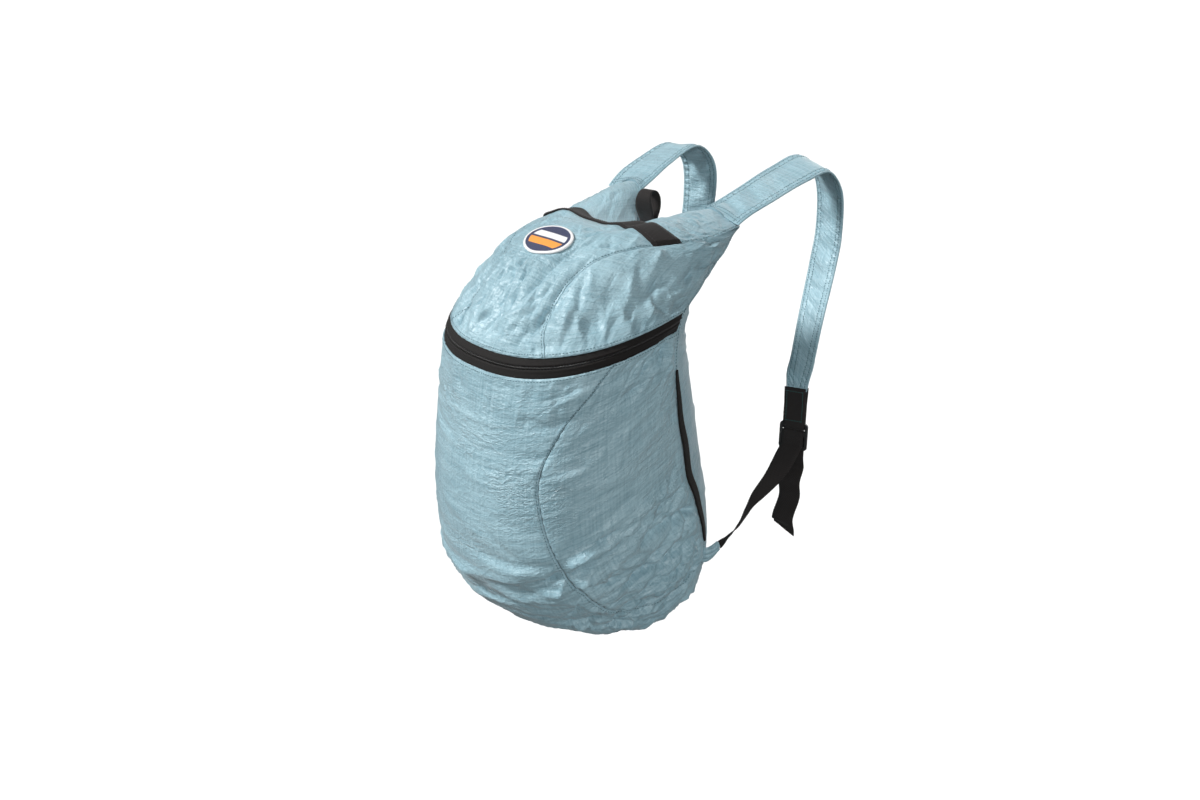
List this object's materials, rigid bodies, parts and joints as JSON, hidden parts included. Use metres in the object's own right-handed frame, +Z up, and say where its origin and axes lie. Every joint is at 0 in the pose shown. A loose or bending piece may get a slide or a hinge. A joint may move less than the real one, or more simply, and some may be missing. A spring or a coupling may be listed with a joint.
{
  "type": "backpack",
  "caption": "Light packable backpack of crinkled pale blue nylon with a zipped lid, black webbing trim and adjustable shoulder straps.",
  "frame": {"origin": "midway between the crests of the two shoulder straps, where the pack hangs on the wearer's shoulders", "axes": "+Z up, +X to the wearer's right, -Y towards the bag's outer face and +Y towards the wearer"},
  "size_m": [0.3028, 0.4601, 0.4908],
  "materials": {
    "nylon": "crinkled ripstop-like nylon with a soft sheen",
    "webbing": "ribbed black webbing and zip tape",
    "plastic": "moulded satin black",
    "patch": "woven badge with a raised rim"
  },
  "bodies": {
    "root": {"front_panel": "nylon", "side_panel_right": "nylon", "side_panel_left": "nylon", "back_panel": "nylon", "lid_panel": "nylon", "lid_side_right": "nylon", "lid_side_left": "nylon", "strap_right": "nylon", "strap_left": "nylon", "anchor_tab_right": "nylon", "anchor_tab_left": "nylon", "zip_tape_lower": "webbing", "zip_tape_upper": "webbing", "lid_band": "webbing", "side_tape_right": "webbing", "side_tape_left": "webbing", "haul_loop": "webbing", "strap_end_tab_right": "webbing", "strap_end_tab_left": "webbing", "webbing_right": "webbing", "webbing_left": "webbing", "zip_coil": "plastic", "zip_slider": "plastic", "buckle_right": "plastic", "buckle_left": "plastic", "patch": "patch"}
  },
  "joints": []
}
